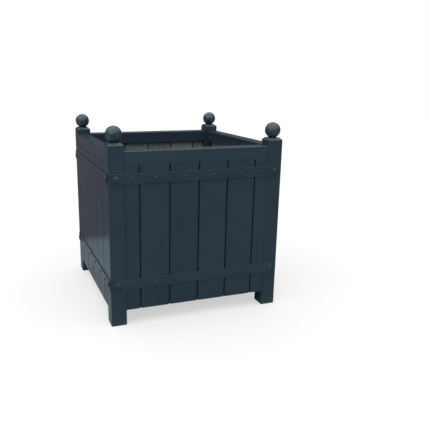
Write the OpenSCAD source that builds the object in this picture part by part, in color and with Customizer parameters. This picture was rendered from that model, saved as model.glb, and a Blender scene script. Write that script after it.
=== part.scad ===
// Square Versailles planter. Tongue-and-groove boarded panels are let into four grooved
// posts and four grooved top rails. Tenoned sills carry a slatted floor, flat straps are
// screwed across the boards and bolted to the posts, and a turned ball stands on each post.
// Millimetres, +Z up, front face towards -Y. The origin is on the ground at the centre.

/* [Overall] */
// Width over the posts, left to right
planter_w = 700; // [660:10:790]
// Depth over the posts, front to back
planter_d = 700; // [660:10:790]
// Height of the posts above the ground, without the finials
post_h = 700; // [560:2:900]
// Height of the boards' lower ends above the ground
leg_h = 62; // [40:1:120]

/* [Posts] */
// Side of the square posts
post_w = 60; // [56:1:75]
// Bevel round the top of a post
post_bevel = 9; // [3:1:12]
// Bevel round the foot of a post
foot_bevel = 3; // [1:0.5:6]
// Eased corner along the length of a post
post_arris = 1.5; // [0.5:0.5:4]

/* [Finials] */
// Diameter of the turned ball
ball_d = 62; // [45:1:70]
// Diameter of the neck under the ball
neck_d = 32; // [16:1:36]
// Height of the neck that shows between the post and the ball
neck_h = 2; // [1:0.5:12]
// Diameter of the spigot glued into the post
spigot_d = 12; // [8:1:16]
// Wood left between the spigot and the mortises below it
spigot_wall = 3; // [2:0.5:6]

/* [Top rails] */
// Height of a top rail
rail_h = 50; // [40:1:80]
// Thickness of a top rail
rail_t = 50; // [30:1:54]
// Distance from the top of the posts down to the rails
rail_drop = 30; // [15:1:60]
// Distance that a rail's face stands back from the face of the boards
rail_setback = 2; // [0:0.5:4]
// Eased corner along a rail
rail_arris = 2; // [0.5:0.5:4]
// Smaller eased corner along a top rail's lower side, where the boards meet it
rail_foot_arris = 0.5; // [0.5:0.5:2]

/* [Boards] */
// Number of boards across one side
boards_per_side = 6; // [4:2:6]
// Width that one whole board covers, with its gap
board_cover = 117; // [110:1:124]
// Thickness of a board
board_t = 24; // [20:1:28]
// Open gap between two boards, with the tongue at its bottom
board_gap = 5; // [2:0.5:8]
// Eased corner along a board's face
board_arris = 1; // [0.5:0.5:2]
// Thickness of the tongues on boards
tongue_t = 8; // [5:0.5:10]
// Length of a tongue inside its groove
tongue_l = 8; // [5:0.5:10]

/* [Sills and floor] */
// Height of a sill
sill_h = 45; // [35:1:70]
// Thickness of a sill
sill_t = 34; // [24:1:36]
// Height of a sill's underside above the boards' lower ends
sill_rise = 14; // [5:1:40]
// Number of floor slats
slat_count = 6; // [4:1:6]
// Gap between floor slats, for drainage
slat_gap = 12; // [6:1:20]
// Thickness of a floor slat
slat_t = 22; // [16:1:28]
// Width of the bearer under the middle of the slats
bearer_w = 45; // [30:1:70]

/* [Joints] */
// Thickness of a tenon
tenon_t = 14; // [10:1:16]
// Step above and below a tenon
tenon_step = 7; // [4:1:10]
// Wood left between two tenons that meet in one post
tenon_wall = 6; // [4:1:9]
// Length of the bearer's tenons
bearer_tenon_l = 12; // [8:1:18]
// Clearance round tongues, tenons, spigots and shanks
fit_gap = 0.2; // [0.1:0.05:0.4]
// Clearance between the ends of the slats and the walls
slat_clear = 2; // [1:0.5:4]

/* [Straps] */
// Width of the flat bar
strap_w = 40; // [30:1:50]
// Thickness of the flat bar
strap_t = 3; // [2:0.5:8]
// Distance from the upper straps up to the top rails
upper_strap_drop = 30; // [10:1:80]
// Distance from the boards' lower ends up to the lower straps
lower_strap_rise = 83; // [70:1:140]
// Distance from the end of a front or back strap to the planter's corner
end_inset = 10; // [0:1:14]
// The same distance for the straps on the left and right
side_end_inset = 6; // [0:1:14]
// Eased corner along a strap
strap_arris = 0.6; // [0.2:0.1:1]

/* [Fixings] */
// Diameter of a coach screw's domed head
bolt_head_d = 22; // [18:1:28]
// Height of a coach screw's domed head
bolt_head_h = 5; // [4:0.5:8]
// Diameter of a coach screw's shank
bolt_d = 8; // [6:0.5:8]
// Wood left between two coach screws that meet in one post
bolt_wall = 2; // [1:0.5:4]
// Diameter of a strap screw's domed head
screw_head_d = 12; // [9:0.5:15]
// Height of a strap screw's domed head
screw_head_h = 3; // [2:0.5:5]
// Diameter of every small screw's shank
screw_d = 5; // [3.5:0.5:5.5]
// Length of a strap screw's shank inside a board
screw_depth = 17; // [10:1:19]
// Diameter of a countersunk screw's head
csk_d = 9.5; // [8:0.5:11]
// Depth that the screws through the sills reach into the boards
board_screw_bite = 16; // [10:1:18]
// Height of those screws above the underside of the sills
board_screw_rise = 13; // [9:1:16]
// Depth that the screws through the slats reach into the sills and the bearer
floor_screw_bite = 18; // [12:1:18]

/* [Hidden] */
$fn = 48;
// How far a cutting shape runs past the face that it opens
over = 1;

paint = [0.165, 0.216, 0.251];
raw_wood = [0.42, 0.42, 0.36];
zinc = [0.62, 0.63, 0.62];

SIDES = ["front", "right", "back", "left"];
CORNERS = ["front_left", "front_right", "back_right", "back_left"];
ALL_BOARDS = [for (side = SIDES, i = [1 : boards_per_side]) str("board_", side, "_", i)];

// Heights
rail_top = post_h - rail_drop;
rail_foot = rail_top - rail_h;
sill_foot = leg_h + sill_rise;
sill_top = sill_foot + sill_h;
lower_strap_z = leg_h + lower_strap_rise + strap_w / 2;
upper_strap_z = rail_foot - upper_strap_drop - strap_w / 2;
STRAP_HEIGHTS = [lower_strap_z, upper_strap_z];
ball_z = post_h + neck_h + sqrt(ball_d * ball_d - neck_d * neck_d) / 2;

// Depths, measured inwards from the outer face of a side
tongue_in = (board_t - tongue_t) / 2;
rail_mid_in = rail_setback + rail_t / 2;
rail_tenon_in = rail_mid_in - tenon_t / 2;
sill_in = board_t;
sill_mid_in = sill_in + sill_t / 2;

// Tenons stop short of the one that comes in from the other face of the post
rail_tenon_l = post_w - (rail_tenon_in + tenon_t) - tenon_wall;
sill_tenon_l = post_w - (sill_in + tenon_t) - tenon_wall;

// Spigots stop above the mortises, and coach screws short of each other
spigot_l = rail_drop + tenon_step - spigot_wall;
bolt_depth = (post_w - bolt_d) / 2 - bolt_wall;
board_screw_l = sill_t + board_screw_bite;
floor_screw_l = slat_t + floor_screw_bite;

// Half sizes of the plan
half_w = planter_w / 2;
half_d = planter_d / 2;
floor_x = half_w - board_t - slat_clear;
floor_y = half_d - board_t - slat_clear;
post_inner_y = half_d - post_w - slat_clear;
bearer_half = half_d - board_t - sill_t;
slat_w = (2 * floor_y - (slat_count - 1) * slat_gap) / slat_count;

// Places that a side or a corner gives its pieces
function side_number(side) = search([side], SIDES)[0];
function on_front_or_back(side) = side_number(side) % 2 == 0;
function side_distance(side) = on_front_or_back(side) ? half_d : half_w;
function half_span(side) = (on_front_or_back(side) ? half_w : half_d) - post_w;
function strap_half(side) =
    half_span(side) + post_w - (on_front_or_back(side) ? end_inset : side_end_inset);

// Board edges and middles along a side, measured from the middle of that side
function joint_x(i) = (i - boards_per_side / 2) * board_cover;
function board_left(side, i) = i == 1 ? -half_span(side) + fit_gap : joint_x(i - 1) + board_gap / 2;
function board_right(side, i) =
    i == boards_per_side ? half_span(side) - fit_gap : joint_x(i) - board_gap / 2;
function board_middle(side, i) = (board_left(side, i) + board_right(side, i)) / 2;

// Floor slats from front to back, and the lines of screws in one
function slat_front(i) = -floor_y + (i - 1) * (slat_w + slat_gap);
function slat_screw_rows(i) =
    let (first = max(slat_front(i), -post_inner_y))
    let (last = min(slat_front(i) + slat_w, post_inner_y))
    [for (share = [1 / 4, 3 / 4]) first + share * (last - first)];
SLAT_SCREW_COLUMNS = [-(half_w - sill_mid_in), 0, half_w - sill_mid_in];

// Puts a piece on a side: x runs along the side, y inwards from its outer face
module on_side(side) {
    rotate([0, 0, 90 * side_number(side)])
        translate([0, -side_distance(side), 0])
            children();
}

// Puts a piece on a corner: the outer corner of the post is at the origin of the piece
module on_corner(corner) {
    i = search([corner], CORNERS)[0];
    sign_x = (i == 0 || i == 3) ? -1 : 1;
    sign_y = i < 2 ? -1 : 1;
    translate([sign_x * half_w, sign_y * half_d, 0])
        rotate([0, 0, 90 * i])
            children();
}

// Rectangle from the origin with its four corners cut off at 45 degrees
module eased_rectangle(w, h, low, high) {
    polygon([
        [low, 0], [w - low, 0], [w, low], [w, h - high],
        [w - high, h], [high, h], [0, h - high], [0, low]
    ]);
}

// Bar along x, centred, with eased long corners: y from 0 to t, z from 0 to h
module eased_bar(length, t, h, low, high) {
    translate([-length / 2, 0, 0])
        rotate([90, 0, 90])
            linear_extrude(length)
                eased_rectangle(t, h, low, high);
}

// Domed head with its flat side on z = 0 and its crown above
module dome(d, h) {
    r = (d * d / 4 + h * h) / (2 * h);
    intersection() {
        translate([0, 0, h - r]) sphere(r, $fn = 96);
        cylinder(d = d, h = h);
    }
}

// Countersunk screw with its head flush at z = 0, pointing down; grow widens it to a hole
module countersunk(length, grow = 0) {
    head_r = csk_d / 2 + grow;
    shank_r = screw_d / 2 + grow;
    head_h = head_r - shank_r;
    tip = -length - grow;
    rotate_extrude()
        polygon([
            [0, 0], [head_r, 0], [shank_r, -head_h],
            [shank_r, tip + shank_r], [0, tip]
        ]);
}

// Strap screw or coach screw: underside of the head at z = 0, shank down, head up
module domed_screw(head_d, head_h, shank_d, shank_l) {
    dome(head_d, head_h);
    rotate_extrude()
        polygon([
            [0, 0], [shank_d / 2, 0],
            [shank_d / 2, -shank_l + shank_d / 2], [0, -shank_l]
        ]);
}

// Turns a screw that points down so that it points inwards from the side's outer face
module facing_out() {
    rotate([90, 0, 0]) children();
}

// Coach screws of one face of a post, at the height of both straps
module post_coach_screws() {
    for (z = STRAP_HEIGHTS)
        translate([post_w / 2, -strap_t, z])
            facing_out()
                domed_screw(bolt_head_d, bolt_head_h, bolt_d, strap_t + bolt_depth);
}

// What the panel on one face of a post needs: groove, two mortises and two screw holes
module post_sockets() {
    groove_l = tongue_l + fit_gap;
    translate([post_w - groove_l, tongue_in - fit_gap, leg_h - fit_gap])
        cube([groove_l + over, tongue_t + 2 * fit_gap, rail_foot - leg_h + fit_gap]);
    mortise(rail_tenon_in, rail_tenon_l, rail_foot, rail_h);
    mortise(sill_in, sill_tenon_l, sill_foot, sill_h);
    for (z = STRAP_HEIGHTS)
        translate([post_w / 2, -over, z])
            rotate([-90, 0, 0])
                cylinder(d = bolt_d + 2 * fit_gap, h = over + bolt_depth + fit_gap);
}

module mortise(depth_in, length, foot, height) {
    translate([post_w - length - fit_gap, depth_in - fit_gap, foot + tenon_step - fit_gap])
        cube([length + fit_gap + over, tenon_t + 2 * fit_gap, height - 2 * tenon_step + 2 * fit_gap]);
}

// Square post with bevelled top and foot, grooved and mortised on its two inner faces
module post(corner) {
    color(paint)
        on_corner(corner)
            difference() {
                intersection() {
                    linear_extrude(post_h)
                        eased_rectangle(post_w, post_w, post_arris, post_arris);
                    rotate([90, 0, 90])
                        linear_extrude(post_w)
                            eased_rectangle(post_w, post_h, foot_bevel, post_bevel);
                    translate([0, post_w, 0])
                        rotate([90, 0, 0])
                            linear_extrude(post_w)
                                eased_rectangle(post_w, post_h, foot_bevel, post_bevel);
                }
                post_sockets();
                mirror([1, -1, 0]) post_sockets();
                translate([post_w / 2, post_w / 2, post_h - spigot_l - fit_gap])
                    cylinder(d = spigot_d + 2 * fit_gap, h = spigot_l + fit_gap + over);
            }
}

// Turned ball on a short neck, with a spigot below
module finial(corner) {
    color(paint)
        on_corner(corner)
            translate([post_w / 2, post_w / 2, 0])
                union() {
                    translate([0, 0, ball_z]) sphere(d = ball_d, $fn = 96);
                    translate([0, 0, post_h]) cylinder(d = neck_d, h = ball_z - post_h);
                    translate([0, 0, post_h - spigot_l]) cylinder(d = spigot_d, h = spigot_l + over);
                }
}

// Top rail with a tenon at each end, grooved below for the tongues of the boards
module top_rail(side) {
    span = 2 * half_span(side);
    color(paint)
        on_side(side)
            difference() {
                union() {
                    translate([0, rail_setback, rail_foot])
                        eased_bar(span, rail_t, rail_h, rail_foot_arris, rail_arris);
                    translate([-span / 2 - rail_tenon_l, rail_tenon_in, rail_foot + tenon_step])
                        cube([span + 2 * rail_tenon_l, tenon_t, rail_h - 2 * tenon_step]);
                }
                translate([-span / 2 - over, tongue_in - fit_gap, rail_foot - over])
                    cube([span + 2 * over, tongue_t + 2 * fit_gap, over + tongue_l + fit_gap]);
            }
}

// Sill behind the boards, with bare-faced tenons, holes for screws and the bearer's mortise
module sill(side) {
    span = 2 * half_span(side);
    color(raw_wood)
        difference() {
            on_side(side)
                difference() {
                    union() {
                        translate([0, sill_in, sill_foot])
                            eased_bar(span, sill_t, sill_h, rail_arris, rail_arris);
                        translate([-span / 2 - sill_tenon_l, sill_in, sill_foot + tenon_step])
                            cube([span + 2 * sill_tenon_l, tenon_t, sill_h - 2 * tenon_step]);
                    }
                    for (i = [1 : boards_per_side])
                        board_screw(side, i, fit_gap);
                    if (on_front_or_back(side))
                        bearer_mortise();
                }
            if (!on_front_or_back(side))
                for (i = [1 : slat_count])
                    slat_screws(i, fit_gap);
        }
}

// Pocket in a front or back sill for the bearer's tenon
module bearer_mortise() {
    translate([
        -tenon_t / 2 - fit_gap,
        sill_in + sill_t - bearer_tenon_l - fit_gap,
        sill_foot + tenon_step - fit_gap
    ])
        cube([
            tenon_t + 2 * fit_gap,
            bearer_tenon_l + fit_gap + over,
            sill_h - 2 * tenon_step + 2 * fit_gap
        ]);
}

// Section of a board: face at y = 0, a tongue on the right, a tongue or groove on the left
module board_section(left, right, left_tongue, right_tongue) {
    groove = tongue_l + fit_gap;
    difference() {
        union() {
            translate([left, 0])
                eased_rectangle(right - left, board_t, board_arris, board_arris);
            translate([left - left_tongue, tongue_in])
                square([right - left + left_tongue + right_tongue, tongue_t]);
        }
        if (left_tongue == 0)
            translate([left - over, tongue_in - fit_gap])
                square([over + groove, tongue_t + 2 * fit_gap]);
    }
}

// Upright board: tongues at its sides and top, holes for two strap screws and one sill screw
module board(side, i) {
    left = board_left(side, i);
    right = board_right(side, i);
    is_last = i == boards_per_side;
    color(paint)
        on_side(side)
            difference() {
                union() {
                    translate([0, 0, leg_h])
                        linear_extrude(rail_foot - leg_h)
                            board_section(
                                left, right,
                                i == 1 ? tongue_l : 0,
                                is_last ? tongue_l : board_gap + tongue_l
                            );
                    translate([left, tongue_in, rail_foot - over])
                        cube([right - left, tongue_t, over + tongue_l]);
                }
                for (z = STRAP_HEIGHTS)
                    translate([board_middle(side, i), -over, z])
                        rotate([-90, 0, 0])
                            cylinder(d = screw_d + 2 * fit_gap, h = over + screw_depth + fit_gap);
                board_screw(side, i, fit_gap);
            }
}

// Screw from the inner face of a sill into a board
module board_screw(side, i, grow = 0) {
    translate([board_middle(side, i), sill_in + sill_t, sill_foot + board_screw_rise])
        rotate([-90, 0, 0])
            countersunk(board_screw_l, grow);
}

// Flat strap with a hole over each post and over the middle of each board
module strap(side, z) {
    length = 2 * strap_half(side);
    post_x = half_span(side) + post_w / 2;
    color(paint)
        on_side(side)
            difference() {
                translate([0, -strap_t, z - strap_w / 2])
                    eased_bar(length, strap_t, strap_w, strap_arris, strap_arris);
                for (x = [-post_x, post_x])
                    strap_hole(x, z, bolt_d);
                for (i = [1 : boards_per_side])
                    strap_hole(board_middle(side, i), z, screw_d);
            }
}

module strap_hole(x, z, shank_d) {
    translate([x, -strap_t - over, z])
        rotate([-90, 0, 0])
            cylinder(d = shank_d + 2 * fit_gap, h = strap_t + 2 * over);
}

// Bearer from the front sill to the back sill, under the middle of the slats
module floor_bearer() {
    color(raw_wood)
        difference() {
            union() {
                translate([0, -bearer_half, sill_foot])
                    translate([-bearer_w / 2, 0, 0])
                        cube([bearer_w, 2 * bearer_half, sill_h]);
                translate([-tenon_t / 2, -bearer_half - bearer_tenon_l, sill_foot + tenon_step])
                    cube([tenon_t, 2 * (bearer_half + bearer_tenon_l), sill_h - 2 * tenon_step]);
            }
            for (i = [1 : slat_count])
                slat_screws(i, fit_gap);
        }
}

// Floor slat across the planter, cut out round the posts where it meets them
module floor_slat(i) {
    color(raw_wood)
        difference() {
            translate([0, slat_front(i), sill_top])
                eased_bar(2 * floor_x, slat_w, slat_t, board_arris, board_arris);
            for (corner = CORNERS)
                on_corner(corner)
                    translate([0, 0, sill_top - over])
                        cube([post_w + slat_clear, post_w + slat_clear, slat_t + 2 * over]);
            slat_screws(i, fit_gap);
        }
}

// Screws of one slat: two over each side sill and two over the bearer
module slat_screws(i, grow = 0) {
    for (x = SLAT_SCREW_COLUMNS, y = slat_screw_rows(i))
        translate([x, y, sill_top + slat_t])
            countersunk(floor_screw_l, grow);
}

module strap_coach_screws() {
    color(paint)
        for (corner = CORNERS)
            on_corner(corner) {
                post_coach_screws();
                mirror([1, -1, 0]) post_coach_screws();
            }
}

module strap_screws() {
    color(paint)
        for (side = SIDES, i = [1 : boards_per_side], z = STRAP_HEIGHTS)
            on_side(side)
                translate([board_middle(side, i), -strap_t, z])
                    facing_out()
                        domed_screw(screw_head_d, screw_head_h, screw_d, strap_t + screw_depth);
}

module board_screws() {
    color(zinc)
        for (side = SIDES, i = [1 : boards_per_side])
            on_side(side)
                board_screw(side, i);
}

module floor_screws() {
    color(zinc)
        for (i = [1 : slat_count])
            slat_screws(i);
}

for (corner = CORNERS) {
    post(corner);
    finial(corner);
}
for (side = SIDES) {
    top_rail(side);
    sill(side);
    strap(side, upper_strap_z);
    strap(side, lower_strap_z);
    for (i = [1 : boards_per_side])
        board(side, i);
}
for (i = [1 : slat_count])
    floor_slat(i);
floor_bearer();
strap_coach_screws();
strap_screws();
board_screws();
floor_screws();
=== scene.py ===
"""Looks of a square Versailles planter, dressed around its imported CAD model.

Posts, rails, boards, straps, sills and slats keep their CAD meshes and get materials. The turned
finials and the screws are remade here with finer detail. Units are metres, +Z is up and the front
faces -Y. Every piece's origin is the frame's origin, so Object coordinates are places on the
planter.
"""

import math
import random

import bmesh
import bpy
from mathutils import Matrix, Vector, noise


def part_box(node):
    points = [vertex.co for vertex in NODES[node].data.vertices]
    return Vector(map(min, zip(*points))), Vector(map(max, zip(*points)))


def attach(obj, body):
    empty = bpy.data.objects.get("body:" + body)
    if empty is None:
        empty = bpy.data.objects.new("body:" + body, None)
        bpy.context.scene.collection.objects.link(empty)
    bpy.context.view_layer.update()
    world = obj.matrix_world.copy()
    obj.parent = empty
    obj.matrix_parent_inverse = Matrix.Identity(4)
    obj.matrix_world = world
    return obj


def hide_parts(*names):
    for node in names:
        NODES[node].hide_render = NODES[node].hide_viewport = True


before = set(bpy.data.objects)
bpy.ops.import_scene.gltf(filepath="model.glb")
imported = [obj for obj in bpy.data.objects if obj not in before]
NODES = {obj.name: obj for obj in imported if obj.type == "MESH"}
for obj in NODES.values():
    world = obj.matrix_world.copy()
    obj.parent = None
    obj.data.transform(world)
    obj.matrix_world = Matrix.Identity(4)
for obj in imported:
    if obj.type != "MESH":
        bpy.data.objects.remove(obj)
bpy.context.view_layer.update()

SIDES = ("front", "right", "back", "left")
CORNERS = ("front_left", "front_right", "back_right", "back_left")
BOARDS_PER_SIDE = 6
SLATS = 6
SEED = 11
MM = 0.001


def middle_z(node):
    """Height of the middle of a CAD node's box."""
    low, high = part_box(node)
    return (low.z + high.z) / 2


# Sizes that the remade pieces share with the CAD model
BOARD_COVER = 117 * MM
BOARD_GAP = 5 * MM
FIT_GAP = 0.2 * MM
SPIGOT_D = 12 * MM
NECK_D = 32 * MM
BOLT_HEAD_D = 22 * MM
BOLT_HEAD_H = 5 * MM
BOLT_D = 8 * MM
BOLT_DEPTH = 24 * MM
SCREW_HEAD_D = 12 * MM
SCREW_HEAD_H = 3 * MM
SCREW_D = 5 * MM
SCREW_DEPTH = 17 * MM
CSK_D = 9.5 * MM
BOARD_SCREW_L = 50 * MM
FLOOR_SCREW_L = 40 * MM
SLAT_CLEAR = 2 * MM
# Shares of a slat's width at which its screws sit
SLAT_SCREWS = (0.25, 0.75)

# Places taken from the CAD model
HALF = abs(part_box("post_front_left")[0].x)
POST_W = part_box("post_front_left")[1].x + HALF
HALF_SPAN = HALF - POST_W
POST_MIDDLE = HALF - POST_W / 2
POST_INNER = HALF - POST_W - SLAT_CLEAR
BOARD_INNER = abs(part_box("board_front_3")[1].y)
RAIL_INNER = abs(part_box("top_rail_front")[1].y)
STRAP_T = abs(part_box("upper_strap_front")[0].y) - HALF
STRAP_HEIGHTS = (middle_z("lower_strap_front"), middle_z("upper_strap_front"))
SILL_FACE = HALF - abs(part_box("sill_front")[1].y)
SILL_MIDDLE = (BOARD_INNER + HALF - SILL_FACE) / 2
BOARD_SCREW_Z = middle_z("board_screws")

# Turned finials. The spigot's chamfered end is a share of its radius and a height, and the
# neck's steps are shares of its radius at heights over the post
BALL_RINGS = 56
BALL_SEGMENTS = 96
SPIGOT_CHAMFER = (0.9, 0.6 * MM)
NECK_STEPS = ((1.03, 0), (1.03, 0.4 * MM), (0.97, 0.9 * MM), (0.965, 1.4 * MM))
# Hand-turned, so not perfectly round from this height over the post: broad dents, and finer
# ones in them, which differ from ball to ball
DENTS_FROM = 3 * MM
DENT_DEPTH = 0.9 * MM
DENT_SPAN = 9 * MM
FINE_DENT_SHARE = 0.35
FINE_DENT_SPAN = 0.4 * DENT_SPAN
BALL_STEP = 3.7

# Screws. Fullness is how far a domed head swells towards its rim: 2 is an ellipse, more is
# fuller. The lip is a share of the head's height, and the rim one of its radius
SCREW_SEGMENTS = 40
COACH_FULLNESS = 3.0
SCREW_FULLNESS = 2.0
DOME_RINGS = 18
DOME_START = 0.985 * math.pi / 2
LIP_SHARE = 0.10
RIM_SHARE = 0.97
FLAT_RINGS = 16
CSK_LIP = 0.25 * MM
# Cross recesses: (arm, width, depth), and the shares of width and arm over which walls slope
STRAP_RECESS = (3.0 * MM, 0.9 * MM, 1.1 * MM)
CSK_RECESS = (2.9 * MM, 0.75 * MM, 1.8 * MM)
RECESS_WALL = 0.35
RECESS_END = 0.3
# A shank's pointed tip, in shares of its radius: (radius, height over the tip)
SHANK_TIP = ((0, 0), (0.5, 0.6), (1, 1.6))
SHANK_GAP = 0.1 * MM
# Edges that bend more than this stay sharp
SHARP_EDGE = math.radians(40)

# Camera, solved from the edges that the photograph shows
SENSOR = 36
LENS = 43.696
CAMERA_SHIFT = (0.0814, 0.0029)
CAMERA_PLACE = (-0.7345, -2.1484, 0.9196)
CAMERA_TURN = math.radians(20.081)
CAMERA_DIP = math.radians(14.728)
CAMERA_ROLL = math.radians(0.510)

# Soft sky: colours by height above a horizon that lies lower at the front left
SKY_LEAN = (-0.12, -0.16, 1.0)
SKY_STRENGTH = 2.0
SKY_STOPS = (
    (0.00, (0.060, 0.054, 0.060)),
    (0.25, (0.066, 0.061, 0.069)),
    (0.56, (0.62, 0.70, 0.72)),
    (1.00, (0.88, 0.98, 1.00)),
)
# The horizon is dimmer on the left of this direction, taken from +Y towards +X
DIM_EDGE = math.radians(16)
DIM_SOFT = math.sin(math.radians(5))
DIM_HEIGHTS = (0.35, 0.15)
DIM_SHARE = 0.28
SOFTBOX_PLACE = (-2.9, -1.3, 2.3)
SOFTBOX_AIM = (0, 0, 0.4)
SOFTBOX_SIZE = 3.0
SOFTBOX_RADIANCE = 0.60

# Floor: what it throws back elsewhere, the darker painted shade it throws back under the planter,
# and what the camera sees
FLOOR_SIZE = 16
FLOOR_Z = -0.5 * MM
GROUND = (0.40, 0.40, 0.40)
# Painted shade: the ground under the planter is darker
GROUND_PAINTED_SHADE = (0.20, 0.21, 0.22)
FLOOR_LIT = (0.39, 0.35, 0.34, 1)
FLOOR_GLOW = 0.55
WHITE = (1, 1, 1, 1)
# What the paint mirrors of the ground, by distance along Y: pale beside the planter, darker in
# front of it and beyond it
MIRRORED = (
    (-0.46, (0.105, 0.140, 0.155)),
    (-0.37, (0.300, 0.318, 0.340)),
    (0.20, (0.285, 0.302, 0.322)),
    (0.60, (0.212, 0.228, 0.246)),
    (0.74, (0.212, 0.228, 0.246)),
    (0.86, (0.085, 0.072, 0.076)),
    (2.00, (0.089, 0.067, 0.071)),
    (4.50, (0.108, 0.082, 0.086)),
)

# In all materials colours are linear, spans are the values between which a mask rises, and
# shares are how strongly a mask works. A noise is (scale, detail, roughness, stretch), and a
# stretch below 1 draws it out along the grain

# Paint
PAINT_DARK = (0.0214, 0.0346, 0.0479)
PAINT_LIGHT = (0.0272, 0.0428, 0.0587)
# Lighter paint on rubbed edges, which also paints highlights along them
PAINT_WORN_AND_HIGHLIGHT = (0.034, 0.052, 0.063)
# Painted shade: darker, bluer paint on the rails' faces that look into the planter
PAINT_INNER_SHADE = (0.0205, 0.0310, 0.0489)
# Painted shade: near-black paint put in joints and corners where shade falls, and on the strap ends
PAINT_CREVICE_SHADE = (0.0012, 0.0048, 0.0100)
# Painted shade in the hollows of the finials' lumps, and a teal painted highlight on their peaks
PAINTED_HOLLOW_SHADE = (0.0110, 0.0190, 0.0265)
PAINTED_GLINT = (0.0480, 0.0830, 0.1000)
PAINT_EASE = 1.2 * MM
PAINT_FIBRES = (420, 4, 0.6, 0.04)
BRUSH_MARKS = (1100, 2, 0.5, 0.02)
PATCHES = (6.0, 3, 0.5, 1)
FIBRE_TONE, PATCH_TONE, PIECE_TONE = 0.45, 0.43, 0.12
TONE_SPAN = (0.25, 0.75)
# Patches where edges are rubbed lighter, which also paints highlights along them
RUBBING_AND_HIGHLIGHT = (35, 4, 0.65, 1)
RUB_AND_HIGHLIGHT_SPAN = (0.42, 0.68)
RUB_AND_HIGHLIGHT_SHARE = 0.6
FIBRE_RELIEF, BRUSH_RELIEF = 0.7, 0.3
PAINT_RELIEF = 0.08 * MM
LUMPS = (150, 4, 0.62, 1)
# Painted shade in the lumps' hollows, and painted highlight on their peaks
HOLLOW_SHADE_SPAN, HOLLOW_SHADE_SHARE = (0.54, 0.36), 0.70
GLINT_SPAN, GLINT_SHARE = (0.46, 0.64), 0.85
SHEEN = (16, 4, 0.5, 1)
SHEEN_SPAN = (0.3, 0.7)
PAINT_ROUGHNESS = (0.15, 0.21)
# How much rougher the paint gets under the painted crevice shade, and how strongly that shade
# darkens it
CREVICE_ROUGHNESS = 0.15
CREVICE_SHADE_SHARE = 0.90
# Masks by place rise between these distances, measured outwards from an inner face or from a
# bar's end. The paint's edge on a board's inner face wanders
# Painted shade on the rails' faces that look into the planter
INNER_SHADE_FADE, INNER_SHADE_SHARE = (0.8 * MM, 0.2 * MM), 0.9
# The straps' end faces are painted nearly black from here on
DARK_END_FADE, DARK_END_SHARE = (-0.5 * MM, -0.1 * MM), 0.85
BARE_FADE = (0.5 * MM, 0.1 * MM)
PAINT_EDGE = (120, 3, 0.5, 1)
PAINT_EDGE_WANDER = 1.6 * MM
# What one kind of piece has of its own, and how much lighter some are painted as painted light
# Painted light: the front and back rails are painted lighter than the side rails
RAIL_PAINTED_LIGHT = 1.07
# Painted light: the finials are painted lighter than the other paint
FINIAL_PAINTED_LIGHT = 1.15
FINIAL_MOTTLE = 1.1 * MM
STEEL_FIBRE = 0.2

# Painted shade in crevices, from ambient occlusion: how far it reaches out of a crevice, and the
# share of open air at which it starts
JOINT_SHADE = (11 * MM, 0.48)
POST_SHADE = (22 * MM, 0.60)
FINIAL_SHADE = (25 * MM, 0.70)
SCREW_SHADE = (2 * MM, 0.48)
WOOD_SHADE = (14 * MM, 0.48)
SHADE_RISE = 0.33

# Bare wood
WOOD_PALE = (0.225, 0.254, 0.254)
WOOD_WARM = (0.243, 0.250, 0.230)
WOOD_DARK = (0.132, 0.130, 0.104)
WOOD_STAIN = (0.080, 0.090, 0.078)
WOOD_KNOT = (0.070, 0.050, 0.036)
# Painted shade in the bare wood's joints and corners
WOOD_CREVICE_SHADE = (0.020, 0.021, 0.018)
WOOD_EASE = 1.0 * MM
WOOD_FIBRES = (600, 4, 0.6, 0.03)
STAINS = (13, 5, 0.62, 0.30)
BLOTCHES = (45, 4, 0.65, 1)
LATE_SHARE = 0.72
FIBRE_SPAN, FIBRE_SHARE = (0.46, 0.78), 0.30
BLOTCH_SPAN, BLOTCH_SHARE = (0.52, 0.80), 0.35
STAIN_SPAN, STAIN_SHARE = (0.50, 0.76), 0.70
WOOD_SHADE_SHARE = 0.7
LATE_RELIEF, FUZZ_RELIEF = 0.35, 0.65
WOOD_RELIEF = 0.45 * MM
FUZZ_SPAN = (0.3, 0.7)
WOOD_ROUGHNESS = (0.74, 0.90)

# Growth of the bare wood: rings around a pith that wanders behind each board
RING_PITCH = 4.6 * MM
RING_WOBBLE = 5.5 * MM
WOBBLE = (28, 3, 0.55, 0.12)
PITH_DEPTH = 46 * MM
PITH_DRIFT = 75 * MM
PITH_BENDS = 1.6
DRIFT = (1.0, 1, 0.5, 1)
BOARD_STEP = 31.0
LATE_RISE = (0.30, 0.90)
LATE_FALL = (1.0, 0.93)
YEARS = (1.0, 0, 0.5, 1)
YEAR_STEP = 0.73
YEAR_SPAN, YEAR_SHARES = (0.25, 0.75), (0.35, 1.0)
# Knots: reach and heart are distances in the texture, and the span keeps some cells only
KNOTS_PER_M = 5.5
KNOT_STRETCH = 0.5
KNOT_SCATTER = 0.95
KNOT_SPAN = (0.52, 0.54)
KNOT_REACH = (0.22, 0.02)
KNOT_HEART = (0.050, 0.034)
KNOT_PUSH = 11 * MM

# Zinc plating
ZINC_PALE = (0.46, 0.46, 0.44)
ZINC_DARK = (0.25, 0.24, 0.21)
ZINC_EASE = 0.4 * MM
BLOOM = (260, 4, 0.6, 1)
BLOOM_SPAN = (0.40, 0.72)
ZINC_SPAN, ZINC_ROUGHNESS = (0.3, 0.7), (0.30, 0.52)
ZINC_RELIEF = 0.05 * MM

# Shading samples, and the cosines between which a bent normal counts as an edge
EASE_SAMPLES = 6
SHADE_SAMPLES = 8
EDGE_SPAN = (0.995, 0.93)


# ---------------------------------------------------------------- materials


def set_stops(ramp, stops):
    """Gives a new colour ramp its (position, colour) stops."""
    while len(ramp.elements) < len(stops):
        ramp.elements.new(1.0)
    for element, (position, colour) in zip(ramp.elements, stops):
        element.position = position
        element.color = (*colour, 1)


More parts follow.
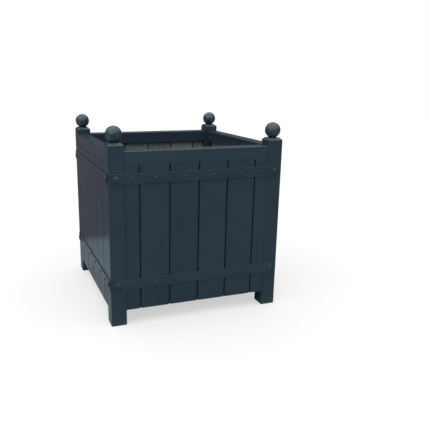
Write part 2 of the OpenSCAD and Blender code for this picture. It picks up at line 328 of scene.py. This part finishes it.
def along(axis, share):
    """Stretch factors that draw a texture out along one axis."""
    return tuple(share if i == "XYZ".index(axis) else 1.0 for i in range(3))


class Graph:
    """Nodes of a material or a world. Each call adds nodes and returns the output that is used."""

    def __init__(self, owner, place="Object"):
        owner.use_nodes = True
        self.owner = owner
        self.tree = owner.node_tree
        self.tree.nodes.clear()
        self.place = self.add("TexCoord", output=place)

    def add(self, kind, inputs=None, output=0, **settings):
        node = self.tree.nodes.new("ShaderNode" + kind)
        for name, value in settings.items():
            setattr(node, name, value)
        for key, value in (inputs or {}).items():
            if isinstance(value, bpy.types.NodeSocket):
                self.tree.links.new(value, node.inputs[key])
            else:
                node.inputs[key].default_value = value
        return node.outputs[output]

    def number(self, operation, a, b=0.0, c=0.0):
        return self.add("Math", {0: a, 1: b, 2: c}, operation=operation)

    def times(self, a, b):
        return self.number("MULTIPLY", a, b)

    def vector(self, operation, a, b):
        return self.add("VectorMath", {0: a, 1: b}, operation=operation)

    def dot(self, a, b):
        return self.add("VectorMath", {0: a, 1: b}, output="Value", operation="DOT_PRODUCT")

    def coordinate(self, axis):
        return self.add("SeparateXYZ", {0: self.place}, output=axis)

    def ramp(self, value, low, high, out_low=0.0, out_high=1.0):
        """Smooth step from out_low at low to out_high at high."""
        return self.add(
            "MapRange",
            {0: value, 1: low, 2: high, 3: out_low, 4: out_high},
            interpolation_type="SMOOTHSTEP",
        )

    def noise(self, kind, axis="Z", where=None):
        """Noise drawn out along an axis, over the place or over other coordinates."""
        scale, detail, roughness, stretch = kind
        where = self.place if where is None else where
        if stretch != 1:
            where = self.vector("MULTIPLY", where, along(axis, stretch))
        texture = {"Scale": scale, "Detail": detail, "Roughness": roughness}
        return self.add("TexNoise", {"Vector": where, **texture})

    def mix(self, share, a, b):
        """Colour a where share is 0, colour b where it is 1."""
        a, b = (c if isinstance(c, bpy.types.NodeSocket) else (*c, 1.0) for c in (a, b))
        return self.add("Mix", {0: share, 6: a, 7: b}, output=2, data_type="RGBA")

    def colours(self, value, stops):
        """Colour between (position, colour) stops, whose positions start and end anywhere."""
        first = stops[0][0]
        span = stops[-1][0] - first
        share = self.number("DIVIDE", self.number("SUBTRACT", value, first), span)
        ramp = self.add("ValToRGB", {0: share})
        scaled = [((position - first) / span, colour) for position, colour in stops]
        set_stops(ramp.node.color_ramp, scaled)
        return ramp

    def bump(self, height, depth, normal):
        """Bends a normal for a surface that stands up by depth where height is 1."""
        relief = {"Height": height, "Distance": depth, "Strength": 1.0}
        return self.add("Bump", {**relief, "Normal": normal})

    def surface(self, shader, kind="Material"):
        out = self.tree.nodes.new("ShaderNodeOutput" + kind)
        self.tree.links.new(shader, out.inputs["Surface"])
        return self.owner


def material_graph(name):
    return Graph(bpy.data.materials.new(name))


def rounded_edges(g, radius):
    """Normal with eased edges, and a mask that is 1 on them."""
    soft = g.add("Bevel", {"Radius": radius}, samples=EASE_SAMPLES)
    flat = g.add("NewGeometry", output="Normal")
    return soft, g.ramp(g.dot(soft, flat), *EDGE_SPAN)


def crevices(g, reach, start):
    """Ambient-occlusion mask that is 1 deep in joints and corners, from where less than start of the
    air is open. It places the painted shade there.
    """
    open_air = g.add("AmbientOcclusion", {"Distance": reach}, output="AO", samples=SHADE_SAMPLES)
    return g.ramp(open_air, start, start - SHADE_RISE)


def outwards(g):
    """Half the width of the square around the planter's middle on which a place lies."""
    x, y = (g.number("ABSOLUTE", g.coordinate(axis)) for axis in "XY")
    return g.number("MAXIMUM", x, y)


def fade(g, value, face, distances, share=1.0):
    """Mask that rises to share between two distances from a face."""
    low, high = (face + distance for distance in distances)
    return g.ramp(value, low, high, 0.0, share)


def painted(g, axis, fibre=1.0, mottle=0.0, lift=1.0, ends=None, inner=None, dirt=JOINT_SHADE):
    """Satin paint brushed along an axis, over wood fibres or over a mottled surface.

    fibre is the share of the fibres' relief that shows, mottle the height of the lumps, whose
    hollows get painted shade and whose peaks a painted highlight, and lift a factor on the colour
    that paints the piece lighter as painted light. ends is the distance from the origin, along the
    axis, past which a bar's end faces are painted nearly black. inner is where the faces lie that
    look into the planter, which get darker, bluer paint as painted shade. dirt is the reach and
    start of the painted shade in joints and corners.
    """
    soft, edge = rounded_edges(g, PAINT_EASE)
    fibres = g.noise(PAINT_FIBRES, axis)
    brush = g.noise(BRUSH_MARKS, axis)
    tone = g.number("ADD", g.times(fibres, FIBRE_TONE), g.times(g.noise(PATCHES), PATCH_TONE))
    tone = g.number("ADD", tone, g.times(g.add("ObjectInfo", output="Random"), PIECE_TONE))
    # lift scales the paint's colour, which paints some pieces lighter as painted light
    dark, light = (tuple(lift * c for c in colour) for colour in (PAINT_DARK, PAINT_LIGHT))
    colour = g.mix(g.ramp(tone, *TONE_SPAN), dark, light)
    # Painted shade: faces that look into the planter get darker, bluer paint
    if inner:
        inner_shade = fade(g, outwards(g), inner, INNER_SHADE_FADE, INNER_SHADE_SHARE)
        colour = g.mix(inner_shade, colour, PAINT_INNER_SHADE)
    # Edges are rubbed lighter, which is wear and also a painted highlight along them
    rubbed_and_highlit = g.times(edge, g.ramp(g.noise(RUBBING_AND_HIGHLIGHT), *RUB_AND_HIGHLIGHT_SPAN))
    colour = g.mix(g.times(rubbed_and_highlit, RUB_AND_HIGHLIGHT_SHARE), colour, PAINT_WORN_AND_HIGHLIGHT)
    relief = g.number("ADD", g.times(fibres, FIBRE_RELIEF * fibre), g.times(brush, BRUSH_RELIEF))
    normal = g.bump(relief, PAINT_RELIEF, soft)
    if mottle:
        lumps = g.noise(LUMPS)
        normal = g.bump(lumps, mottle, normal)
        # Painted shade in the lumps' hollows, and a teal painted highlight on their peaks
        colour = g.mix(g.ramp(lumps, *HOLLOW_SHADE_SPAN, 0.0, HOLLOW_SHADE_SHARE), colour, PAINTED_HOLLOW_SHADE)
        colour = g.mix(g.ramp(lumps, *GLINT_SPAN, 0.0, GLINT_SHARE), colour, PAINTED_GLINT)
    # Painted shade: joints, corners and the undersides of things darken by their ambient occlusion
    painted_dark = g.times(crevices(g, *dirt), CREVICE_SHADE_SHARE)
    # The straps' end faces are painted nearly black, with the colour of the crevice shade
    if ends:
        dark_end = fade(g, g.number("ABSOLUTE", g.coordinate(axis)), ends, DARK_END_FADE)
        painted_dark = g.number("MAXIMUM", painted_dark, g.times(dark_end, DARK_END_SHARE))
    colour = g.mix(painted_dark, colour, PAINT_CREVICE_SHADE)
    roughness = g.ramp(g.noise(SHEEN), *SHEEN_SPAN, *PAINT_ROUGHNESS)
    roughness = g.number("MULTIPLY_ADD", painted_dark, CREVICE_ROUGHNESS, roughness)
    return g.add("BsdfPrincipled", {"Base Color": colour, "Roughness": roughness, "Normal": normal})


def growth_rings(g, chance, grain, pitch, first, face):
    """Masks of the late rings and of the knots' hearts on boards sawn side by side.

    grain names the axes along, across and through a board. Boards start at first and follow at
    pitch across the grain, and face is the distance of their bare face from the origin.
    """
    length, across, through = (g.coordinate(axis) for axis in grain)
    across = g.number("WRAP", g.number("SUBTRACT", across, first), pitch, 0.0)
    across = g.number("SUBTRACT", across, pitch / 2)
    # The pith wanders behind the face, which draws the rings out into arches
    bends = g.times(length, PITH_BENDS)
    where = g.add("CombineXYZ", {0: bends, 1: g.times(chance, BOARD_STEP)})
    drift = g.number("SUBTRACT", g.noise(DRIFT, where=where), 0.5)
    pith = g.number("MULTIPLY_ADD", chance, pitch, -pitch / 2)
    pith = g.number("MULTIPLY_ADD", drift, PITH_DRIFT / 2, pith)
    depth = g.number("MULTIPLY_ADD", drift, PITH_DRIFT, PITH_DEPTH - face)
    depth = g.number("ADD", g.number("ABSOLUTE", through), depth)
    off = g.add("CombineXYZ", {0: g.number("SUBTRACT", across, pith), 1: depth})
    radius = g.add("VectorMath", {0: off}, output="Value", operation="LENGTH")
    radius = g.number("MULTIPLY_ADD", g.noise(WOBBLE, grain[0]), RING_WOBBLE, radius)
    # Knots push the rings aside
    shift = g.add("CombineXYZ", {0: chance, 1: chance, 2: chance})
    where = g.vector("ADD", g.place, shift)
    where = g.vector("MULTIPLY", where, along(grain[0], KNOT_STRETCH))
    cells = {"Vector": where, "Scale": KNOTS_PER_M, "Randomness": KNOT_SCATTER}
    knot = g.add("TexVoronoi", cells)
    kept = g.ramp(g.add("SeparateColor", {0: knot.node.outputs["Color"]}), *KNOT_SPAN)
    push = g.times(g.ramp(knot, *KNOT_REACH), kept)
    radius = g.number("MULTIPLY_ADD", push, KNOT_PUSH, radius)
    years = g.number("DIVIDE", radius, RING_PITCH)
    season = g.number("FRACT", years)
    late = g.times(g.ramp(season, *LATE_RISE), g.ramp(season, *LATE_FALL))
    # Some years leave fainter rings
    year = g.add("CombineXYZ", {0: g.times(g.number("FLOOR", years), YEAR_STEP), 1: chance})
    late = g.times(late, g.ramp(g.noise(YEARS, where=year), *YEAR_SPAN, *YEAR_SHARES))
    return late, g.times(g.ramp(knot, *KNOT_HEART), kept)


def bare(g, *boards):
    """Bare greenish-grey softwood with growth rings, knots, saw fuzz and water stains."""
    grain = boards[0]
    soft, _ = rounded_edges(g, WOOD_EASE)
    chance = g.add("ObjectInfo", output="Random")
    late, heart = growth_rings(g, chance, *boards)
    fibres = g.noise(WOOD_FIBRES, grain[0])
    stains = g.noise(STAINS, grain[0])
    colour = g.mix(chance, WOOD_PALE, WOOD_WARM)
    colour = g.mix(g.times(late, LATE_SHARE), colour, WOOD_DARK)
    colour = g.mix(g.ramp(fibres, *FIBRE_SPAN, 0.0, FIBRE_SHARE), colour, WOOD_DARK)
    colour = g.mix(g.ramp(g.noise(BLOTCHES), *BLOTCH_SPAN, 0.0, BLOTCH_SHARE), colour, WOOD_STAIN)
    colour = g.mix(g.ramp(stains, *STAIN_SPAN, 0.0, STAIN_SHARE), colour, WOOD_STAIN)
    colour = g.mix(heart, colour, WOOD_KNOT)
    # Painted shade: the bare wood darkens in its joints and corners by ambient occlusion
    colour = g.mix(g.times(crevices(g, *WOOD_SHADE), WOOD_SHADE_SHARE), colour, WOOD_CREVICE_SHADE)
    roughness = g.ramp(fibres, *FUZZ_SPAN, *WOOD_ROUGHNESS)
    relief = g.number("MULTIPLY_ADD", late, LATE_RELIEF, g.times(fibres, FUZZ_RELIEF))
    normal = g.bump(relief, WOOD_RELIEF, soft)
    return g.add("BsdfPrincipled", {"Base Color": colour, "Roughness": roughness, "Normal": normal})


def painted_material(name, axis, **options):
    """Painted all over."""
    g = material_graph(name)
    return g.surface(painted(g, axis, **options))


def bare_material(name, *boards):
    """Bare all over."""
    g = material_graph(name)
    return g.surface(bare(g, *boards))


def board_material(name, grain):
    """Painted outside and on its edges, bare on the face that looks into the planter."""
    g = material_graph(name)
    wander = g.times(g.noise(PAINT_EDGE), PAINT_EDGE_WANDER)
    inside = fade(g, g.number("SUBTRACT", outwards(g), wander), BOARD_INNER, BARE_FADE)
    raw = bare(g, grain, BOARD_COVER, 0.0, BOARD_INNER)
    return g.surface(g.add("MixShader", {0: inside, 1: painted(g, "Z"), 2: raw}))


def zinc_material():
    """Zinc-plated steel with a faint yellowish bloom."""
    g = material_graph("zinc_plating")
    soft, _ = rounded_edges(g, ZINC_EASE)
    bloom = g.noise(BLOOM)
    shader = {
        "Base Color": g.mix(g.ramp(bloom, *BLOOM_SPAN), ZINC_PALE, ZINC_DARK),
        "Metallic": 1.0,
        "Roughness": g.ramp(bloom, *ZINC_SPAN, *ZINC_ROUGHNESS),
        "Normal": g.bump(bloom, ZINC_RELIEF, soft),
    }
    return g.surface(g.add("BsdfPrincipled", shader))


# ---------------------------------------------------------------- turned pieces


def turned(profile, segments):
    """Vertices and faces of (radius, height) pairs turned about Z; a radius of 0 closes an end."""
    verts = []
    rings = []
    for radius, height in profile:
        if radius == 0:
            rings.append([len(verts)])
            verts.append(Vector((0, 0, height)))
            continue
        rings.append(list(range(len(verts), len(verts) + segments)))
        for i in range(segments):
            turn = math.tau * i / segments
            verts.append(Vector((radius * math.cos(turn), radius * math.sin(turn), height)))
    faces = []
    for low, high in zip(rings, rings[1:]):
        for i in range(segments):
            a, b = low[i % len(low)], low[(i + 1) % len(low)]
            c, d = high[(i + 1) % len(high)], high[i % len(high)]
            faces.append(tuple(dict.fromkeys((a, b, c, d))))
    return verts, faces


def cross_cut(place, arm, width, depth):
    """Depth of a cross recess under a place on a screw head, with sloping walls."""
    across, out = sorted((abs(place.x), abs(place.y)))
    wall = (width - across) / (RECESS_WALL * width)
    end = (arm - out) / (RECESS_END * arm)
    return depth * (min(1.0, max(0.0, wall)) * min(1.0, max(0.0, end)))


def arc(start, stop, steps):
    """Even steps from start up to but without stop."""
    return [start + (stop - start) * i / steps for i in range(steps)]


def shank(radius, length):
    """Profile of a shank's pointed tip."""
    return [(radius * out, -length + radius * up) for out, up in SHANK_TIP]


def domed_screw(head_d, head_h, fullness, shank_d, shank_l, recess=None):
    """Screw with a domed head that sits on z = 0."""
    r = head_d / 2
    lip = LIP_SHARE * head_h
    power = 2 / fullness
    under = [(shank_d / 2, -SHANK_GAP), (r * RIM_SHARE, 0), (r, lip * 0.5)]
    dome = [
        (r * math.sin(a) ** power, lip + (head_h - lip) * math.cos(a) ** power)
        for a in arc(DOME_START, 0, DOME_RINGS)
    ]
    profile = shank(shank_d / 2, shank_l) + under + dome + [(0, head_h)]
    verts, faces = turned(profile, SCREW_SEGMENTS)
    if recess:
        for v in verts:
            if v.z > 0.5 * head_h:
                v.z -= cross_cut(v, *recess)
    return verts, faces


def countersunk_screw(length):
    """Screw with a flat head flush at z = 0 and a cross recess."""
    r = CSK_D / 2
    shank_r = SCREW_D / 2
    cone = [(shank_r, shank_r - r), (r, -CSK_LIP)]
    flat = [(r * share, 0) for share in arc(RIM_SHARE, 0, FLAT_RINGS)]
    verts, faces = turned(shank(shank_r, length) + cone + flat + [(0, 0)], SCREW_SEGMENTS)
    for v in verts:
        if v.z == 0:
            v.z -= cross_cut(v, *CSK_RECESS)
    return verts, faces


def add_piece(name, shapes, material, material_slot, *nodes):
    """One smooth piece of all (matrix, (vertices, faces)) shapes, in place of CAD nodes."""
    bm = bmesh.new()
    for matrix, (verts, faces) in shapes:
        made = [bm.verts.new(matrix @ v) for v in verts]
        for face in faces:
            bm.faces.new([made[i] for i in face])
    bmesh.ops.recalc_face_normals(bm, faces=bm.faces)
    for face in bm.faces:
        face.smooth = True
    for edge in bm.edges:
        edge.smooth = edge.is_manifold and edge.calc_face_angle(0) < SHARP_EDGE
    mesh = bpy.data.meshes.new(name)
    bm.to_mesh(mesh)
    bm.free()
    mesh.materials.append(material)
    piece = bpy.data.objects.new(name, mesh)
    bpy.context.scene.collection.objects.link(piece)
    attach(piece, "root")
    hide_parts(*nodes)


def unevenness(place):
    """Random depth from 0 to 1 at a place."""
    return 0.5 + 0.5 * noise.noise(place)


def add_finial(corner, material):
    """Turned ball on a low neck, with its spigot, cut with slightly uneven strokes."""
    node = f"finial_{corner}"
    low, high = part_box(node)
    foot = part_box(f"post_{corner}")[1].z
    ball_r = (high.x - low.x) / 2
    neck_r = NECK_D / 2
    spigot_r = SPIGOT_D / 2
    centre = high.z - ball_r
    share, chamfer = SPIGOT_CHAMFER
    profile = [(0, low.z), (spigot_r * share, low.z), (spigot_r, low.z + chamfer)]
    profile.append((spigot_r, foot))
    profile += [(neck_r * share, foot + up) for share, up in NECK_STEPS]
    for angle in arc(math.asin(neck_r / ball_r), math.pi, BALL_RINGS):
        profile.append((ball_r * math.sin(angle), centre - ball_r * math.cos(angle)))
    profile.append((0, high.z))
    verts, faces = turned(profile, BALL_SEGMENTS)
    shift = Vector((CORNERS.index(corner) * BALL_STEP, SEED, 0))
    for v in verts:
        if v.z > foot + DENTS_FROM:
            out = v - Vector((0, 0, centre))
            dent = unevenness(out / DENT_SPAN + shift)
            dent += FINE_DENT_SHARE * unevenness(out / FINE_DENT_SPAN + shift)
            v -= out.normalized() * DENT_DEPTH * dent
    at = Matrix.Translation(((low.x + high.x) / 2, (low.y + high.y) / 2, 0))
    add_piece(f"turned_{node}", [(at, (verts, faces))], material, "painted_finials", node)


# ---------------------------------------------------------------- screws


def side_frame(side):
    """x runs along the side, y inwards from its outer face."""
    turn = math.radians(90) * SIDES.index(side)
    return Matrix.Rotation(turn, 4, "Z") @ Matrix.Translation((0, -HALF, 0))


def board_middle(i):
    """Middle of the face of board i, measured along its side."""
    joint = [(j - BOARDS_PER_SIDE / 2) * BOARD_COVER for j in range(BOARDS_PER_SIDE + 1)]
    left = -HALF_SPAN + FIT_GAP if i == 1 else joint[i - 1] + BOARD_GAP / 2
    right = HALF_SPAN - FIT_GAP if i == BOARDS_PER_SIDE else joint[i] - BOARD_GAP / 2
    return (left + right) / 2


def add_screws():
    """Coach screws, strap screws and the countersunk screws inside."""
    rng = random.Random(SEED)

    def placed(*place, facing=Matrix.Identity(4)):
        """Each screw stops at an angle of its own."""
        return Matrix.Translation(place) @ facing @ Matrix.Rotation(rng.uniform(0, math.tau), 4, "Z")

    outwards_facing = Matrix.Rotation(math.radians(90), 4, "X")
    inwards_facing = outwards_facing.inverted()
    coach = domed_screw(BOLT_HEAD_D, BOLT_HEAD_H, COACH_FULLNESS, BOLT_D, STRAP_T + BOLT_DEPTH)
    strap = domed_screw(
        SCREW_HEAD_D, SCREW_HEAD_H, SCREW_FULLNESS, SCREW_D, STRAP_T + SCREW_DEPTH, STRAP_RECESS
    )
    into_board = countersunk_screw(BOARD_SCREW_L)
    into_floor = countersunk_screw(FLOOR_SCREW_L)
    middles = [board_middle(i) for i in range(1, BOARDS_PER_SIDE + 1)]
    coaches = []
    straps = []
    boards = []
    floors = []
    for side in SIDES:
        on_side = side_frame(side)
        for z in STRAP_HEIGHTS:
            for x in (-POST_MIDDLE, POST_MIDDLE):
                coaches.append((on_side @ placed(x, -STRAP_T, z, facing=outwards_facing), coach))
            for x in middles:
                straps.append((on_side @ placed(x, -STRAP_T, z, facing=outwards_facing), strap))
        for x in middles:
            at = placed(x, SILL_FACE, BOARD_SCREW_Z, facing=inwards_facing)
            boards.append((on_side @ at, into_board))
    for i in range(1, SLATS + 1):
        low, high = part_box(f"floor_slat_{i}")
        first = max(low.y, -POST_INNER)
        last = min(high.y, POST_INNER)
        for x in (-SILL_MIDDLE, 0, SILL_MIDDLE):
            for share in SLAT_SCREWS:
                floors.append((placed(x, first + share * (last - first), high.z), into_floor))
    paint = painted_material("paint_screws", "Z", fibre=STEEL_FIBRE, dirt=SCREW_SHADE)
    zinc = zinc_material()
    add_piece("coach_screws", coaches, paint, "painted_fixings", "strap_coach_screws")
    add_piece("cross_head_strap_screws", straps, paint, "painted_fixings", "strap_screws")
    add_piece("countersunk_board_screws", boards, zinc, "zinc_screws", "board_screws")
    add_piece("countersunk_floor_screws", floors, zinc, "zinc_screws", "floor_screws")


# ---------------------------------------------------------------- stage


def add_world():
    """Overcast light from above, a dim horizon, and plain white for the camera."""
    world = bpy.data.worlds.new("soft_sky")
    bpy.context.scene.world = world
    g = Graph(world, "Generated")
    height = g.dot(g.place, Vector(SKY_LEAN).normalized())
    ramp = g.add("ValToRGB", {0: height})
    ramp.node.color_ramp.interpolation = "EASE"
    set_stops(ramp.node.color_ramp, SKY_STOPS)
    aside = g.dot(g.place, (math.cos(DIM_EDGE), -math.sin(DIM_EDGE), 0))
    dim = g.times(g.ramp(aside, DIM_SOFT, -DIM_SOFT), g.ramp(height, *DIM_HEIGHTS))
    strength = g.number("MULTIPLY_ADD", dim, -SKY_STRENGTH * DIM_SHARE, SKY_STRENGTH)
    sky = g.add("Background", {"Color": ramp, "Strength": strength})
    white = g.add("Background", {"Color": WHITE})
    seen = g.add("LightPath", output="Is Camera Ray")
    g.surface(g.add("MixShader", {0: seen, 1: sky, 2: white}), "World")


def add_softbox():
    """Square lamp that points at the planter from the left."""
    lamp = bpy.data.lights.new("softbox_left", "AREA")
    lamp.shape = "SQUARE"
    lamp.size = SOFTBOX_SIZE
    lamp.energy = SOFTBOX_RADIANCE * math.pi * SOFTBOX_SIZE * SOFTBOX_SIZE
    box = bpy.data.objects.new("softbox_left", lamp)
    bpy.context.scene.collection.objects.link(box)
    box.location = SOFTBOX_PLACE
    aim = Vector(SOFTBOX_AIM) - Vector(SOFTBOX_PLACE)
    box.rotation_euler = aim.to_track_quat("-Z", "Y").to_euler()
    box.visible_camera = False


def add_floor():
    """Pale floor that is white to the camera where it is lit, and shows the planter's shadow.

    From below it is clear, so that the planter's underside can be seen.
    """
    bpy.ops.mesh.primitive_plane_add(size=FLOOR_SIZE, location=(0, 0, FLOOR_Z))
    floor = bpy.context.object
    floor.name = "floor"
    g = material_graph("floor")
    glossy = g.add("LightPath", output="Is Glossy Ray")
    ground = g.mix(glossy, GROUND, g.colours(g.coordinate("Y"), MIRRORED))
    # Painted shade: the ground under the planter is darker for every ray but the camera's
    ground = g.mix(g.ramp(outwards(g), HALF, HALF - POST_W), ground, GROUND_PAINTED_SHADE)
    ground = g.add("BsdfDiffuse", {"Color": ground})
    lit = g.add("BsdfDiffuse", {"Color": FLOOR_LIT})
    glow = g.add("Emission", {"Color": WHITE, "Strength": FLOOR_GLOW})
    pale = g.add("AddShader", {0: lit, 1: glow})
    below = g.add("NewGeometry", output="Backfacing")
    top = g.add("MixShader", {0: below, 1: pale, 2: g.add("BsdfTransparent")})
    seen = g.add("LightPath", output="Is Camera Ray")
    floor.data.materials.append(g.surface(g.add("MixShader", {0: seen, 1: ground, 2: top})))


def add_camera():
    """Camera at the photograph's place."""
    camera = bpy.data.cameras.new("camera")
    camera.sensor_width = SENSOR
    camera.lens = LENS
    camera.shift_x, camera.shift_y = CAMERA_SHIFT
    holder = bpy.data.objects.new("camera", camera)
    bpy.context.scene.collection.objects.link(holder)
    holder.matrix_world = (
        Matrix.Translation(CAMERA_PLACE)
        @ Matrix.Rotation(-CAMERA_TURN, 4, "Z")
        @ Matrix.Rotation(math.radians(90) - CAMERA_DIP, 4, "X")
        @ Matrix.Rotation(CAMERA_ROLL, 4, "Z")
    )
    bpy.context.scene.camera = holder


# ---------------------------------------------------------------- dressing


def dress(material, *names):
    """Puts a material on CAD nodes."""
    for name in names:
        NODES[name].material_slots[0].material = material


def dress_sides(along_x, along_y, *names):
    """Dresses each side's nodes; {} in a name is the side, which runs along X or along Y."""
    for side in SIDES:
        material = along_x if side in ("front", "back") else along_y
        dress(material, *(name.format(side) for name in names))


def dress_paint():
    """Posts, finials, top rails and straps."""
    upright = painted_material("paint_upright", "Z", dirt=POST_SHADE)
    # Painted light: the front and back rails get a lighter copy of the paint
    across = painted_material("paint_across_painted_lighter", "X", lift=RAIL_PAINTED_LIGHT, inner=RAIL_INNER)
    deep = painted_material("paint_deep", "Y", inner=RAIL_INNER)
    dress(upright, *(f"post_{corner}" for corner in CORNERS))
    dress_sides(across, deep, "top_rail_{}")
    finial = painted_material(
        "paint_finial_painted_lighter", "Z", mottle=FINIAL_MOTTLE, lift=FINIAL_PAINTED_LIGHT, dirt=FINIAL_SHADE
    )
    for corner in CORNERS:
        add_finial(corner, finial)
    end_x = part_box("upper_strap_front")[1].x
    end_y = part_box("upper_strap_left")[1].y
    steel_across = painted_material("paint_steel_across", "X", fibre=STEEL_FIBRE, ends=end_x)
    steel_deep = painted_material("paint_steel_deep", "Y", fibre=STEEL_FIBRE, ends=end_y)
    dress_sides(steel_across, steel_deep, "upper_strap_{}", "lower_strap_{}")


def dress_wood():
    """Boards, which are painted outside, and the sills and the floor."""
    boards_x = board_material("board_paint_outside_x", "ZXY")
    boards_y = board_material("board_paint_outside_y", "ZYX")
    dress_sides(boards_x, boards_y, *("board_{}_" + str(i + 1) for i in range(BOARDS_PER_SIDE)))
    low, high = (corner.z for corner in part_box("sill_front"))
    sill_x = bare_material("bare_sill_across", "XZY", high - low, low, BOARD_INNER)
    sill_y = bare_material("bare_sill_deep", "YZX", high - low, low, BOARD_INNER)
    dress_sides(sill_x, sill_y, "sill_{}")
    dress(sill_y, "floor_bearer")
    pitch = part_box("floor_slat_3")[0].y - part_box("floor_slat_2")[0].y
    first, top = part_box("floor_slat_1")
    slat = bare_material("bare_slat", "XYZ", pitch, first.y, top.z)
    dress(slat, *(f"floor_slat_{i}" for i in range(1, SLATS + 1)))


dress_paint()
dress_wood()
add_screws()

bpy.context.scene.view_settings.view_transform = "Standard"
add_world()
add_softbox()
add_floor()
add_camera()
